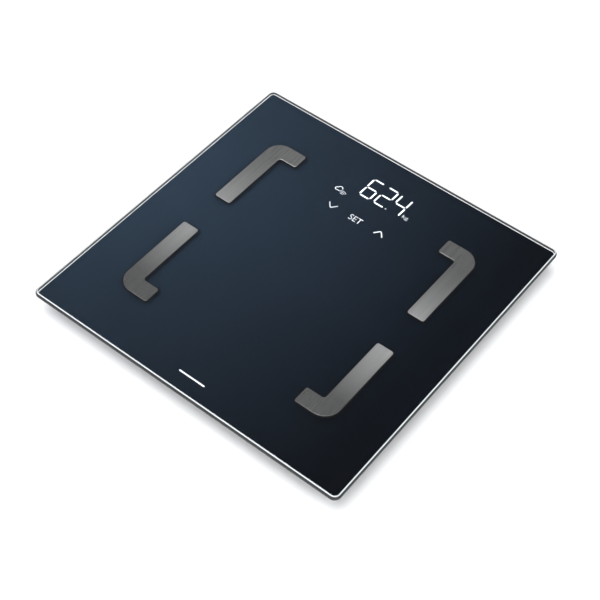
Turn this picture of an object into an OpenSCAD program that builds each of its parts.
// Digital body-analysis bathroom scale.
// A glass platform carries four steel electrodes. Under it, a shallow tray holds the board, the display,
// the batteries and four load cells, and each load cell stands on its own foot.
// Millimetres. X runs to the user's right, Y runs from the user towards the display, Z is up.
// The origin is on the floor, under the centre of the glass.

/* [Glass platform] */
// Width of the glass, side to side
glass_w = 300; // [250:1:380]
// Depth of the glass, front to rear
glass_d = 300; // [250:1:380]
// Thickness of the glass
glass_t = 5; // [4:0.5:8]
// Corner radius of the glass, seen from above
glass_corner_r = 6; // [4:0.5:20]
// Radius of the polished round along the glass edge
glass_edge_r = 2.4; // [0.5:0.1:2.4]
// Clear margin between the glass edge and the ink on its back
print_margin = 2.6; // [1:0.1:4]
// Thickness of the ink on the back of the glass
print_t = 0.2; // [0.1:0.05:0.4]

/* [Electrodes] */
// Width of an electrode strip
strip_w = 15.3; // [10:0.1:20]
// Thickness of an electrode strip
strip_t = 0.85; // [0.5:0.05:1.5]
// Length of the short arm, from the outer side of the long arm
strip_hook = 31.9; // [24:0.1:40]
// Gap between a front and a rear electrode
strip_gap = 38.7; // [20:0.1:60]
// From the glass edge to the outer side of the long arm
strip_inset_x = 44.2; // [30:0.1:60]
// From the glass edge to the outer side of the short arm
strip_inset_y = 48.4; // [30:0.1:60]
// Outer radius of the bend
strip_bend_r = 14.5; // [6:0.1:15]
// Thickness of the tape under an electrode
tape_t = 0.15; // [0.1:0.05:0.3]

/* [Base tray] */
// How far the glass stands out past the tray
base_overhang = 16; // [8:0.5:17]
// Height of the tray's underside above the floor
base_clearance = 4; // [3.6:0.1:8]
// Wall of the tray
base_wall = 2; // [1.6:0.1:2.4]
// Bevel along the tray's lower edge
base_bevel = 4; // [0.5:0.5:5]
// Thickness of the foam seal and tape between tray and glass
seal_t = 0.4; // [0.3:0.1:1]

/* [Feet and load cells] */
// From the glass edge to the centre of a foot
foot_inset = 46; // [45:0.5:52]
// Radius of a foot
foot_r = 19; // [15:0.1:19.5]
// Free travel of a foot before its load cell takes the weight
foot_travel = 0.6; // [0.3:0.1:1]
// Thickness of the rubber pad under a foot
pad_t = 2.2; // [1.6:0.1:3]
// Side of a load cell
cell_side = 34; // [28:0.5:34.5]
// Thickness of a load cell
cell_t = 2.4; // [1.6:0.1:3]

/* [Batteries] */
// Diameter of a battery
battery_dia = 10.5; // [10:0.1:14.5]
// Length of a battery over its terminal
battery_l = 44.5; // [40:0.5:51]

/* [Display and keys] */
// From the rear glass edge to the middle of the digits
display_inset = 40; // [36:0.5:50]
// Height of a digit between the middles of its bars
digit_h = 21.5; // [14:0.1:24]
// Width of a digit between the middles of its bars
digit_w = 10.4; // [7:0.1:11]
// Step from one digit to the next
digit_step = 14.65; // [13:0.05:15]
// From the middle of the digits to the middle of the touch keys
key_drop = 36; // [32:0.5:40]
// Step from one touch key to the next
key_step = 24.2; // [18:0.1:30]

/* [Board and button] */
// Width of the main board
board_w = 92; // [84:1:94]
// Depth of the main board
board_d = 64; // [60:1:66]
// Travel of the unit button
button_travel = 0.45; // [0.2:0.05:0.45]
// Radius of the unit button
button_r = 3.5; // [2.5:0.1:5]

/* [Hidden] */

$fn = 64;
eps = 0.01;          // how far a cutter runs past the face it cuts
slip = 0.05;         // gap between faces that rest on each other across a joint
fit = 0.3;           // gap around a piece that drops into a pocket

// Heights of the stack, from the floor up
door_t = 1.6;
bay_roof = 0.9;
battery_play = 0.2;
tray_h = door_t + battery_dia + 2 * battery_play + bay_roof;
z_under = base_clearance;
z_inside = z_under + base_wall;
z_rim = z_under + tray_h;
z_print = z_rim + seal_t;
z_glass = z_print + print_t;
z_top = z_glass + glass_t;
z_strip = z_top + tape_t;

// Plan of the tray and the feet: the tray's corners are concentric with the feet
foot_x = glass_w / 2 - foot_inset;
foot_y = glass_d / 2 - foot_inset;
base_w = glass_w - 2 * base_overhang;
base_d = glass_d - 2 * base_overhang;
base_corner_r = foot_inset - base_overhang;

// Foot
pad_r = foot_r - 2.5;
pad_recess = 0.6;
hole_r = foot_r + 0.8;
flange_r = hole_r + 2.2;
flange_t = 1.4;
z_flange = z_inside + foot_travel + slip;
hub_r = 5.5;
cup_wall = 2;
z_cup_floor = pad_t + 1.8;

// Load cell and its holder
holder_roof = 1.8;
holder_relief = 1.5;
holder_skirt = 0.5;
z_cell = z_rim - holder_roof - holder_relief - cell_t;
z_holder = z_cell - holder_skirt;
holder_h = z_rim - z_holder;
holder_r = cell_side / 2 * sqrt(2) + 2.4;
holder_ledge = 4.6;
ear_reach = max(holder_r, flange_r + 2.4) + 2;
ear_r = 4.2;
arm_w = 2 * ear_r - 2;
relief_side = cell_side - 2 * holder_ledge;
lead_slot_w = 4;
slot_w = 1.6;        // slots that free the cell's tongue
tongue_w = 12.8;
tongue_l = cell_side * 0.65;

// Screws
shank_r = 1.25;
head_r = 2.5;
head_t = 1.6;
shank_clearance = 0.25;
bite_clearance = 0.05;
counterbore = 3.2;

// Electrode contact
stud_r = 1.6;
stud_hole_r = 2.5;
stud_drop = 1.6;
stud_y = (strip_gap + strip_w) / 2 + 13;
stud_x = glass_w / 2 - strip_inset_x - strip_w / 2;
strip_inner_r = 3;
strip_end_r = 1.8;
strip_leg = glass_d / 2 - strip_inset_y - strip_gap / 2;

// Battery bay, with the batteries along X
spring_room = 5;
plate_room = 1.5;
bay_l = battery_l + spring_room + plate_room;
battery_n = 3;
battery_pitch = battery_dia + 0.4;
bay_d = battery_n * battery_pitch;
bay_wall = 1.6;
door_lip = 2.2;
door_w = bay_l + 2 * door_lip;
door_d = bay_d + 2 * door_lip;
frame_rim = 2.2;     // wall left outside the door's recess
frame_h = 3.6;
hinge_r = door_t / 2;
hinge_pin_l = 1.2;
hinge_z = z_under + door_t / 2;
battery_z = z_under + door_t + battery_play + battery_dia / 2;
plate_t = 0.4;
plate_side = battery_dia * 0.76;

// Main board, its display and its keys
board_t = 1.6;
standoff_h = 3.4;
z_board = z_inside + standoff_h;
z_board_top = z_board + board_t;
digits_y = glass_d / 2 - display_inset;
digits_n = 4;
digits_x = 4.7 - (digits_n - 2) * digit_step;    // middle of the leftmost digit
key_y = digits_y - key_drop;
board_rear_y = digits_y + digit_h / 2 + 6.3;
board_y = board_rear_y - board_d / 2;
board_front_y = board_rear_y - board_d;
housing_w = 76;
housing_front = 24.5;      // from the middle of the digits to the housing's front face
housing_rear = digit_h / 2 + 3;
housing_gap = 0.2;
diffuser_t = 0.3;
bar_t = 1.6;
z_housing_top = z_rim - housing_gap;
board_hole_x = board_w / 2 - 4;

// Lanes of the leads along the tray floor, in front of the board, and the battery bay in front of them
lead_w = 3.2;
lead_h = 1;
wire_w = 1.4;
wire_h = 1;
rear_lane_y = board_front_y - 3.6;
front_lane_y = rear_lane_y - 4.4;
battery_lane_y = front_lane_y - 4;
bay_gap = 22;        // clear floor between the bay and the lanes
bay_y = battery_lane_y - bay_gap - door_d / 2 - fit - frame_rim;
tab_y = bay_y + bay_d / 2 - 5;      // where a lead joins its contact
hinge_y = bay_y - door_d / 2 + hinge_r;
label_y = (bay_y - door_d / 2 - base_d / 2) / 2;
board_hole_y = board_d / 2 - 4;

// Unit button and its switch
button_x = 30;
button_y = board_front_y + 22;
dish_depth = 0.8;
dish_r = button_r + 4.5;
switch_side = 6;
switch_h = 1.8;
z_switch = z_board - switch_h;
button_flange_t = 0.9;
z_button_top = z_switch - button_travel - slip;
plunger_r = 1.6;
plunger_in = 0.1;    // how far the plunger reaches into the switch at rest

// Rating label
label_w = 64;
label_d = 30;
label_t = 0.2;
label_recess = 0.3;

CORNERS = [["front_left", -1, -1], ["front_right", 1, -1], ["rear_left", -1, 1], ["rear_right", 1, 1]];

// ---------- shapes that repeat ----------

// Rectangle with round corners, centred
module round_rect(w, d, r) {
    square([w - 2 * r, d], center = true);
    square([w, d - 2 * r], center = true);
    for (x = [-1, 1], y = [-1, 1])
        translate([x * (w / 2 - r), y * (d / 2 - r)]) circle(r);
}

module slab(w, d, r, z, h) {
    translate([0, 0, z]) linear_extrude(h) round_rect(w, d, r);
}

// Slab whose lower edge is bevelled by c
module bevelled_slab(w, d, r, z, h, c) {
    slab(w, d, r, z + c, h - c);
    translate([0, 0, z]) {
        for (x = [-1, 1], y = [-1, 1])
            translate([x * (w / 2 - r), y * (d / 2 - r), 0]) cylinder(r1 = r - c, r2 = r, h = c);
        bevelled_bar(w - 2 * r, d, c);
        rotate([0, 0, 90]) bevelled_bar(d - 2 * r, w, c);
    }
}

// Bar along X whose two long lower edges are bevelled
module bevelled_bar(length, w, c) {
    translate([-length / 2, 0, 0]) rotate([90, 0, 90]) linear_extrude(length)
        polygon([[c - w / 2, 0], [w / 2 - c, 0], [w / 2, c], [-w / 2, c]]);
}

module block(x, y, z, w, d, h) {
    translate([x - w / 2, y - d / 2, z]) cube([w, d, h]);
}

module rod(x, y, z, r, h) {
    translate([x, y, z]) cylinder(r = r, h = h);
}

// Flat lead along a list of points in plan, from height z up to z + h
module flat_run(points, w, z, h) {
    for (i = [0 : len(points) - 2]) {
        a = points[i];
        b = points[i + 1];
        step = b - a;
        translate([a[0], a[1], z]) rotate([0, 0, atan2(step[1], step[0])])
            translate([0, -w / 2, 0]) cube([norm(step), w, h]);
        if (i > 0) rod(a[0], a[1], z, w / 2, h);
    }
}

// Round wire wound into a coil about Z, from radius r0 at height 0 to radius r1 at height h
module coil(r0, r1, h, turns, wire_r) {
    steps = 10;
    sides = 5;
    n = turns * steps;
    points = [for (i = [0 : n]) let (
            a = 360 * i / steps,
            r = r0 + (r1 - r0) * i / n,
            z = wire_r + (h - 2 * wire_r) * i / n
        ) for (k = [0 : sides - 1]) let (t = 360 * k / sides)
            [(r + wire_r * cos(t)) * cos(a), (r + wire_r * cos(t)) * sin(a), z + wire_r * sin(t)]];
    walls = [for (i = [0 : n - 1], k = [0 : sides - 1]) let (j = (k + 1) % sides)
        each [[i * sides + k, (i + 1) * sides + k, i * sides + j],
              [i * sides + j, (i + 1) * sides + k, (i + 1) * sides + j]]];
    first = [for (k = [1 : sides - 2]) [0, k, k + 1]];
    last = [for (k = [1 : sides - 2]) [n * sides, n * sides + k + 1, n * sides + k]];
    polyhedron(points, concat(walls, first, last));
}

// Pan-head screw with its head down, the head's seat at z
module screw(x, y, z, length) {
    translate([x, y, z]) difference() {
        union() {
            translate([0, 0, -head_t]) cylinder(r = head_r, h = head_t);
            cylinder(r = shank_r, h = length);
        }
        for (a = [0, 90]) rotate([0, 0, a]) block(0, 0, -head_t - eps, 2.6, 0.6, 0.9);
    }
}

// ---------- glass, ink and window ----------

module stud_holes(z, h) {
    for (c = CORNERS) rod(c[1] * stud_x, c[2] * stud_y, z, stud_hole_r, h);
}

module glass_platform() {
    inner = glass_corner_r - glass_edge_r;
    color([0.72, 0.8, 0.82]) difference() {
        hull() for (x = [-1, 1], y = [-1, 1], z = [glass_edge_r, glass_t - glass_edge_r])
            translate([x * (glass_w / 2 - glass_corner_r), y * (glass_d / 2 - glass_corner_r), z_glass + z])
                rotate_extrude($fn = 32) translate([inner, 0]) circle(glass_edge_r, $fn = 24);
        stud_holes(z_glass - eps, glass_t + 2 * eps);
    }
}

module window_plan(gap) {
    translate([0, digits_y + (housing_rear - housing_front) / 2])
        round_rect(housing_w - 4 + 2 * gap, housing_front + housing_rear - 4 + 2 * gap, 2 + gap);
}

module back_print() {
    color([0.1, 0.13, 0.17]) difference() {
        slab(glass_w - 2 * print_margin, glass_d - 2 * print_margin,
            glass_corner_r - print_margin, z_print, print_t);
        stud_holes(z_print - eps, print_t + 2 * eps);
        translate([0, 0, z_print - eps]) linear_extrude(print_t + 2 * eps) window_plan(0);
    }
}

module display_window() {
    color([0.13, 0.15, 0.18]) translate([0, 0, z_print]) linear_extrude(print_t) window_plan(0);
}

// ---------- electrodes ----------

// Outline of the front left electrode: a long arm with a short one turned in at its outer end
module strip_plan() {
    e = strip_end_r;
    r = strip_bend_r;
    inner = strip_w + strip_inner_r;
    translate([-glass_w / 2 + strip_inset_x, -glass_d / 2 + strip_inset_y]) difference() {
        union() {
            square([strip_hook - e, strip_w]);
            square([strip_w, strip_leg - e]);
            translate([0, e]) square([strip_hook, strip_w - 2 * e]);
            translate([e, 0]) square([strip_w - 2 * e, strip_leg]);
            for (k = [e, strip_w - e]) {
                translate([strip_hook - e, k]) circle(e);
                translate([k, strip_leg - e]) circle(e);
            }
            square(inner);
        }
        translate([inner, inner]) circle(strip_inner_r);
        difference() {
            translate([-1, -1]) square(r + 1);
            translate([r, r]) circle(r);
        }
    }
}

// Flips a shape drawn in the front left quadrant into the quadrant of signs sx, sy
module quadrant(sx, sy) {
    mirror([sx > 0 ? 1 : 0, 0, 0]) mirror([0, sy > 0 ? 1 : 0, 0]) children();
}

module electrode(c) {
    color([0.62, 0.61, 0.59]) quadrant(c[1], c[2]) {
        translate([0, 0, z_strip]) linear_extrude(strip_t) strip_plan();
        rod(-stud_x, -stud_y, z_print - stud_drop, stud_r, z_strip - z_print + stud_drop + eps);
    }
}

module electrode_tape() {
    color([0.2, 0.2, 0.2]) for (c = CORNERS) quadrant(c[1], c[2]) difference() {
        translate([0, 0, z_top]) linear_extrude(tape_t) strip_plan();
        rod(-stud_x, -stud_y, z_top - eps, stud_hole_r, tape_t + 2 * eps);
    }
}

rear_turn_x = 26;
front_turn_x = 14;
front_lane_x = bay_l / 2 + 22;

// Plan of an electrode's lead under the glass, in the quadrant of sign sy
function electrode_route(sy) = sy > 0
    ? [[stud_x - stud_r - slip, stud_y], [rear_turn_x, stud_y], [rear_turn_x, board_front_y + 3]]
    : [[stud_x - stud_r - slip, -stud_y], [front_lane_x, -stud_y], [front_lane_x, stud_y - 5],
       [front_turn_x, stud_y - 5], [front_turn_x, board_front_y + 3]];

module electrode_leads() {
    color([0.75, 0.1, 0.1]) for (c = CORNERS) mirror([c[1] < 0 ? 1 : 0, 0, 0]) {
        route = electrode_route(c[2]);
        last = route[len(route) - 1];
        flat_run(route, wire_w, z_print - wire_h, wire_h);
        block(last[0], last[1], z_board_top, wire_w, wire_h, z_print - z_board_top);
    }
}

// ---------- base tray ----------

// Places of the two screws that hold a corner, in the corner's own quadrant
function ear_places(c) = [
    [c[1] * (foot_x - ear_reach), c[2] * foot_y],
    [c[1] * foot_x, c[2] * (foot_y - ear_reach)],
];

lead_reach = 31;                          // where a cell's lead comes down, from the foot's centre
lead_in = 6.8;
cell_lane_x = foot_x - lead_reach / sqrt(2) - 6;

// Plan of a load cell's lead along the tray floor, in the quadrant of sign sy
function cell_route(sy) = let (x = foot_x - lead_reach / sqrt(2), y = foot_y - lead_reach / sqrt(2)) sy > 0
    ? [[x, y], [x, rear_lane_y], [18, rear_lane_y], [18, board_front_y + 2]]
    : [[x, -y], [cell_lane_x, -y], [cell_lane_x, front_lane_y], [9, front_lane_y], [9, board_front_y + 2]];

module cell_lead_runs(gap) {
    for (c = CORNERS) mirror([c[1] < 0 ? 1 : 0, 0, 0])
        flat_run(cell_route(c[2]), lead_w + 2 * gap, z_inside + slip - gap, lead_h + 2 * gap);
}

battery_lead_x = door_w / 2 + fit + frame_rim + wire_w / 2 + slip;

module battery_lead_runs(gap) {
    for (s = [-1, 1])
        flat_run([[s * battery_lead_x, tab_y],
                  [s * battery_lead_x, battery_lane_y],
                  [s * 3, battery_lane_y],
                  [s * 3, board_front_y + 2]], wire_w + 2 * gap, z_inside + slip - gap, wire_h + 2 * gap);
}

rib_t = 1.2;
rib_h = 3;

module tray_ribs() {
    difference() {
        union() {
            for (x = [-1, 1]) block(x * (bay_l / 2 + 29), 0, z_inside, rib_t, base_d - 3 * base_wall, rib_h);
            for (y = [-foot_y + 44, label_y + 8, -foot_y + 6])
                block(0, y, z_inside, base_w - 3 * base_wall, rib_t, rib_h);
            for (c = CORNERS) rod(c[1] * foot_x, c[2] * foot_y, z_inside, flange_r + 2, rib_h);
        }
        for (c = CORNERS) rod(c[1] * foot_x, c[2] * foot_y, z_inside - eps, flange_r + 0.6, rib_h + 2 * eps);
        cell_lead_runs(0.6);
        battery_lead_runs(0.6);
        block(0, board_y, z_inside, board_w, board_d, rib_h + eps);
    }
}

module tray_shell() {
    difference() {
        bevelled_slab(base_w, base_d, base_corner_r, z_under, tray_h, base_bevel);
        bevelled_slab(base_w - 2 * base_wall, base_d - 2 * base_wall, base_corner_r - base_wall,
            z_inside, tray_h, base_bevel);
    }
}

module bay_solid() {
    block(0, bay_y, z_under, door_w + 2 * fit + 2 * frame_rim, door_d + 2 * fit + 2 * frame_rim, frame_h);
    block(0, bay_y, z_under, bay_l + 2 * bay_wall, bay_d + 2 * bay_wall, tray_h);
}

module bay_void() {
    block(0, bay_y, z_under - eps, bay_l, bay_d, tray_h - bay_roof + eps);
    block(0, bay_y, z_under - eps, door_w + 2 * fit, door_d + 2 * fit, door_t + 0.1 + eps);
    // finger notch beside the door's latch
    translate([0, bay_y + door_d / 2 + fit, z_under - eps]) cylinder(r = 5, h = 1.2 + eps);
    // bores for the door's pins
    translate([-door_w / 2 - fit - hinge_pin_l, hinge_y, hinge_z]) rotate([0, 90, 0])
        cylinder(r = hinge_r - 0.2 + slip, h = door_w + 2 * fit + 2 * hinge_pin_l);
    // slots for the contacts' tabs
    for (s = [-1, 1])
        block(s * (bay_l + bay_wall) / 2, tab_y, battery_z - 1.2, bay_wall + 2 * eps, 2.4, 2.4);
}

module base_tray() {
    color([0.16, 0.16, 0.17]) difference() {
        union() {
            tray_shell();
            tray_ribs();
            bay_solid();
            for (c = CORNERS, p = ear_places(c)) rod(p[0], p[1], z_under, ear_r, z_holder - z_under);
            for (x = [-1, 1], y = [-1, 1])
                rod(x * board_hole_x, board_y + y * board_hole_y, z_under, 3, z_board - z_under);
        }
        for (c = CORNERS) rod(c[1] * foot_x, c[2] * foot_y, z_under - eps, hole_r, base_wall + 2 * eps);
        bay_void();
        for (c = CORNERS, p = ear_places(c)) {
            rod(p[0], p[1], z_under - eps, head_r + 0.4, counterbore + eps);
            rod(p[0], p[1], z_under, shank_r + shank_clearance, z_holder);
        }
        for (x = [-1, 1], y = [-1, 1])
            rod(x * board_hole_x, board_y + y * board_hole_y, z_board - 3, shank_r + bite_clearance, 3 + eps);
        rod(button_x, button_y, z_under - eps, dish_r, dish_depth + eps);
        rod(button_x, button_y, z_under, button_r + 0.2, base_wall + eps);
        block(0, label_y, z_under - eps, label_w + fit, label_d + fit, label_recess + eps);
    }
}

module rim_seal() {
    color([0.25, 0.25, 0.26]) difference() {
        slab(base_w, base_d, base_corner_r, z_rim, seal_t);
        slab(base_w - 2 * base_wall, base_d - 2 * base_wall, base_corner_r - base_wall,
            z_rim - eps, 1 + seal_t);
    }
}

module rating_label() {
    color([0.8, 0.8, 0.8]) slab(label_w, label_d, 2, z_under + label_recess - label_t, label_t);
}

module tray_screws() {
    color([0.7, 0.7, 0.7]) for (c = CORNERS, p = ear_places(c))
        screw(p[0], p[1], z_under + counterbore, z_holder - z_under - counterbore + 3.4);
}

// ---------- load cells ----------

module cell_holder(c) {
    color([0.85, 0.85, 0.83]) difference() {
        union() {
            rod(c[1] * foot_x, c[2] * foot_y, z_holder, holder_r, z_rim - z_holder);
            for (p = ear_places(c)) rod(p[0], p[1], z_holder, ear_r, z_rim - z_holder);
            block(c[1] * (foot_x - ear_reach / 2), c[2] * foot_y, z_holder, ear_reach, arm_w, holder_h);
            block(c[1] * foot_x, c[2] * (foot_y - ear_reach / 2), z_holder, arm_w, ear_reach, holder_h);
        }
        translate([c[1] * foot_x, c[2] * foot_y, 0]) {
            block(0, 0, z_holder - eps, cell_side + 0.4, cell_side + 0.4, holder_skirt + cell_t + eps);
            block(0, 0, z_cell, relief_side, relief_side, cell_t + holder_relief);
            rotate([0, 0, atan2(-c[2], -c[1])]) translate([0, -lead_slot_w / 2, z_cell + cell_t - eps])
                cube([holder_r + 1, lead_slot_w, holder_relief + eps]);
        }
        for (p = ear_places(c)) rod(p[0], p[1], z_holder - eps, shank_r + bite_clearance, 4);
    }
}

module holder_tape() {
    color([0.9, 0.9, 0.9]) for (c = CORNERS) rod(c[1] * foot_x, c[2] * foot_y, z_rim, holder_r - 0.5, seal_t);
}

module load_cell(c) {
    color([0.66, 0.67, 0.7]) translate([c[1] * foot_x, c[2] * foot_y, 0]) difference() {
        block(0, 0, z_cell, cell_side, cell_side, cell_t);
        for (x = [-1, 1])
            block(x * (tongue_w + slot_w) / 2, 0, z_cell - eps, slot_w, tongue_l, cell_t + 2 * eps);
        block(0, c[2] * (tongue_l - slot_w) / 2, z_cell - eps,
            tongue_w + 2 * slot_w, slot_w, cell_t + 2 * eps);
        for (x = [-1, 1], y = [-1, 1])
            rod(x * (cell_side / 2 - 3.4), y * (cell_side / 2 - 3.4), z_cell - eps, 1.1, cell_t + 2 * eps);
    }
}

module strain_gauges() {
    color([0.93, 0.93, 0.88]) for (c = CORNERS)
        block(c[1] * foot_x, c[2] * (foot_y - tongue_l / 4), z_cell + cell_t, 7, 5, 0.6);
}

module cell_leads() {
    z_cross = z_cell + cell_t + 0.2;
    color([0.15, 0.15, 0.15]) for (c = CORNERS) mirror([c[1] < 0 ? 1 : 0, 0, 0]) {
        flat_run(cell_route(c[2]), lead_w, z_inside + slip, lead_h);
        translate([foot_x, c[2] * foot_y, 0]) rotate([0, 0, c[2] > 0 ? -135 : 135]) {
            translate([lead_in, -lead_w / 2, z_cross])
                cube([lead_reach - lead_in + lead_h / 2, lead_w, lead_h]);
            translate([lead_reach - lead_h / 2, -lead_w / 2, z_inside + slip])
                cube([lead_h, lead_w, z_cross + lead_h - z_inside - slip]);
        }
    }
}

// ---------- feet ----------

module foot_cup(c) {
    color([0.14, 0.14, 0.15]) translate([c[1] * foot_x, c[2] * foot_y, 0]) {
        rotate_extrude() polygon([
            [0, pad_t], [pad_r + 0.1, pad_t],
            [pad_r + 0.1, pad_t - pad_recess], [foot_r - 0.8, pad_t - pad_recess],
            [foot_r, pad_t + 0.2], [foot_r, z_flange], [flange_r, z_flange], [flange_r, z_flange + flange_t],
            [foot_r - cup_wall, z_flange + flange_t], [foot_r - cup_wall, z_cup_floor],
            [hub_r, z_cup_floor], [hub_r, z_cell - slip], [0, z_cell - slip],
        ]);
        for (a = [0 : 60 : 300]) rotate([0, 0, a])
            translate([hub_r - 0.5, -0.6, z_cup_floor - eps])
                cube([foot_r - cup_wall - hub_r + 1, 1.2, z_flange - z_cup_floor]);
    }
}

// Rubber disc with two ring grooves in its tread
module foot_pad(c) {
    groove = 0.5;
    color([0.2, 0.2, 0.21]) translate([c[1] * foot_x, c[2] * foot_y, 0]) difference() {
        cylinder(r = pad_r, h = pad_t);
        for (r = [pad_r * 0.45, pad_r * 0.75]) translate([0, 0, -eps]) difference() {
            cylinder(r = r + 0.7, h = groove + eps);
            translate([0, 0, -eps]) cylinder(r = r - 0.7, h = groove + 3 * eps);
        }
    }
}

// ---------- main board ----------

module main_board() {
    color([0.05, 0.35, 0.2]) difference() {
        block(0, board_y, z_board, board_w, board_d, board_t);
        for (x = [-1, 1], y = [-1, 1])
            rod(x * board_hole_x, board_y + y * board_hole_y, z_board - eps,
                shank_r + shank_clearance, board_t + 2 * eps);
    }
}

module board_screws() {
    color([0.7, 0.7, 0.7]) for (x = [-1, 1], y = [-1, 1])
        translate([x * board_hole_x, board_y + y * board_hole_y, z_board_top]) mirror([0, 0, 1])
            screw(0, 0, 0, board_t + 2.6);
}

module microcontroller() {
    color([0.1, 0.1, 0.1]) block(36.5, key_y + 3, z_board_top, 9, 9, 1.4);
}

module radio_module() {
    color([0.75, 0.76, 0.78]) block(-37, key_y + 4, z_board_top, 11, 13, 2.2);
}

module capacitors() {
    color([0.2, 0.2, 0.35]) for (x = [-12, 12]) rod(x, key_y + 4, z_board_top, 2.5, 5);
}

module lead_sockets() {
    color([0.93, 0.92, 0.86]) for (x = [-13.5, 13.5]) difference() {
        block(x, board_front_y + 3.6, z_board - 3, 13.5, 5, 3);
        for (k = [-1 : 1]) block(x + k * 4.5, board_front_y + 1.1, z_board - 3 - eps, 3.6, 2, 1.7);
    }
}

// ---------- display ----------

// Outline of one bar of a digit, lying along X
module bar_plan(length) {
    t = bar_t / 2;
    h = length / 2;
    polygon([[-h, 0], [t - h, t], [h - t, t], [h, 0], [h - t, -t], [t - h, -t]]);
}

// The seven bars and the point of every digit, in plan
module digits_plan(grow) {
    half = digit_h / 2;
    gap = 0.5;
    for (i = [0 : digits_n - 1]) translate([digits_x + i * digit_step, digits_y]) {
        for (y = [-half, 0, half]) translate([0, y]) bar_plan(digit_w - gap + grow);
        for (x = [-1, 1], y = [-1, 1]) translate([x * digit_w / 2, y * half / 2]) rotate(90)
            bar_plan(half - gap + grow);
        if (i == digits_n - 2) translate([digit_step / 2, -half]) circle(0.7);
    }
}

// Windows for the unit mark and for the cloud mark
module marks_plan() {
    translate([30.2, digits_y - 8.4]) square([6, 5], center = true);
    translate([-29.6, digits_y - 17.8]) square([12, 9], center = true);
}

module display_housing() {
    y_mid = digits_y + (housing_rear - housing_front) / 2;
    color([0.08, 0.08, 0.09]) difference() {
        block(0, y_mid, z_board_top, housing_w, housing_front + housing_rear, z_housing_top - z_board_top);
        translate([0, 0, z_board_top + 1.5]) linear_extrude(tray_h) {
            digits_plan(0);
            marks_plan();
        }
    }
}

module display_light_pipes() {
    color([0.95, 0.97, 1]) translate([0, 0, z_board_top + 1.5])
        linear_extrude(z_housing_top - z_board_top - 1.5) {
            digits_plan(0);
            marks_plan();
        }
}

module display_diffuser() {
    color([0.85, 0.87, 0.9])
        block(0, digits_y + (housing_rear - housing_front) / 2, z_housing_top,
            housing_w - 2, housing_front + housing_rear - 2, diffuser_t);
}

module touch_springs() {
    color([0.85, 0.75, 0.45]) for (k = [-1 : 1])
        translate([k * key_step, key_y, z_board_top + slip])
            coil(3.2, 4.2, z_print - z_board_top - 2 * slip, 5, 0.35);
}

// ---------- unit button ----------

module unit_switch() {
    color([0.2, 0.2, 0.2]) difference() {
        block(button_x, button_y, z_switch, switch_side, switch_side, switch_h);
        rod(button_x, button_y, z_switch - eps, plunger_r + 0.1, plunger_in + button_travel + 0.15);
    }
}

module switch_plunger() {
    color([0.75, 0.7, 0.2])
        rod(button_x, button_y, z_button_top, plunger_r, z_switch + plunger_in - z_button_top);
}

module unit_button() {
    z_flange_low = z_button_top - button_flange_t;
    color([0.5, 0.5, 0.52]) {
        rod(button_x, button_y, z_under + 0.1, button_r, z_flange_low - z_under);
        rod(button_x, button_y, z_flange_low, button_r + 1.1, button_flange_t);
    }
}

// ---------- batteries ----------

// Middle of battery k, counted from 0 at the front
function battery_y(k) = bay_y + (k - (battery_n - 1) / 2) * battery_pitch;

// Where battery k's foot end lies, and which way it points
function battery_way(k) = k % 2 == 0 ? 1 : -1;

module battery(k) {
    nub = 0.9;
    x0 = -bay_l / 2 + spring_room;
    color([0.75, 0.5, 0.2])
        translate([0, battery_y(k), battery_z]) rotate([0, 90, battery_way(k) > 0 ? 0 : 180])
            translate([0, 0, x0]) {
                cylinder(d = battery_dia, h = battery_l - nub);
                cylinder(r = 1.9, h = battery_l);
            }
}

module battery_contacts() {
    color([0.8, 0.8, 0.82]) for (k = [0 : battery_n - 1])
        translate([0, battery_y(k), battery_z]) rotate([0, 0, battery_way(k) > 0 ? 0 : 180]) {
            for (x = [-1, 1])
                block(x * (bay_l - plate_t) / 2, 0, -plate_side / 2, plate_t, plate_side, plate_side);
            // dimple that meets the terminal
            translate([bay_l / 2 - plate_room + slip, 0, 0]) rotate([0, 90, 0])
                cylinder(r = 1.5, h = plate_room - plate_t);
        }
    // tabs that pass through the bay's walls
    color([0.8, 0.8, 0.82]) for (s = [-1, 1])
        block(s * (bay_l / 2 + bay_wall / 2 + 0.1), tab_y, battery_z - 0.9, bay_wall + 0.8, 1.8, 1.8);
}

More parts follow.
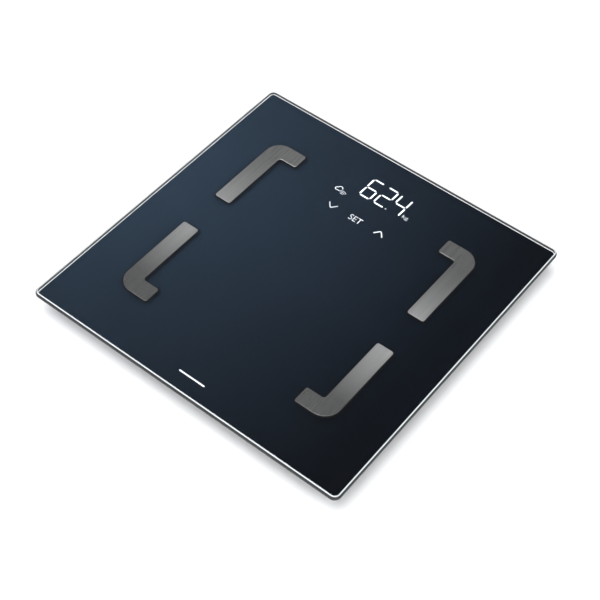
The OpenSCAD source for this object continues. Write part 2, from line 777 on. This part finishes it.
module battery_springs() {
    color([0.8, 0.8, 0.82]) for (k = [0 : battery_n - 1])
        translate([0, battery_y(k), battery_z]) rotate([0, 0, battery_way(k) > 0 ? 0 : 180])
            translate([-bay_l / 2 + plate_t + slip, 0, 0]) rotate([0, 90, 0])
                coil(3.5, 2, spring_room - plate_t - 2 * slip, 4, 0.3);
}

module battery_leads() {
    x_tab = bay_l / 2 + bay_wall + 0.5 + slip;
    reach = battery_lead_x + wire_w / 2 - x_tab;
    color([0.7, 0.1, 0.1]) {
        battery_lead_runs(0);
        for (s = [-1, 1]) {
            block(s * battery_lead_x, tab_y, z_inside + slip, wire_w, wire_w, battery_z - z_inside);
            block(s * (x_tab + reach / 2), tab_y, battery_z - wire_h / 2, reach, wire_w, wire_h);
        }
    }
}

module battery_door() {
    tab_w = 12;
    slot = 0.8;
    color([0.17, 0.17, 0.18]) difference() {
        union() {
            block(0, bay_y + hinge_r / 2, z_under, door_w, door_d - hinge_r, door_t);
            translate([-door_w / 2, hinge_y, hinge_z]) rotate([0, 90, 0]) cylinder(r = hinge_r, h = door_w);
            translate([-door_w / 2 - fit - hinge_pin_l + 0.2, hinge_y, hinge_z]) rotate([0, 90, 0])
                cylinder(r = hinge_r - 0.2, h = door_w + 2 * fit + 2 * hinge_pin_l - 0.4);
        }
        // slots that free the latch tongue
        for (x = [-1, 1])
            block(x * tab_w / 2, bay_y + door_d / 2 - 4, z_under - eps, slot, 8 + eps, door_t + 2 * eps);
        // grip grooves
        for (i = [0 : 3])
            block(0, bay_y + door_d / 2 - 2.4 - 1.6 * i, z_under - eps, tab_w - 3, 0.7, 0.4 + eps);
    }
}

// ---------- assembly ----------

glass_platform();
back_print();
display_window();
for (c = CORNERS) {
    electrode(c);
    cell_holder(c);
    load_cell(c);
    foot_cup(c);
    foot_pad(c);
}
electrode_tape();
electrode_leads();
base_tray();
rim_seal();
translate([0, label_y, 0]) rating_label();
tray_screws();
holder_tape();
strain_gauges();
cell_leads();
main_board();
board_screws();
microcontroller();
radio_module();
capacitors();
lead_sockets();
display_housing();
display_light_pipes();
display_diffuser();
touch_springs();
unit_switch();
switch_plunger();
unit_button();
battery_contacts();
battery_springs();
battery_leads();
for (k = [0 : 2])
    battery(k);
battery_door();
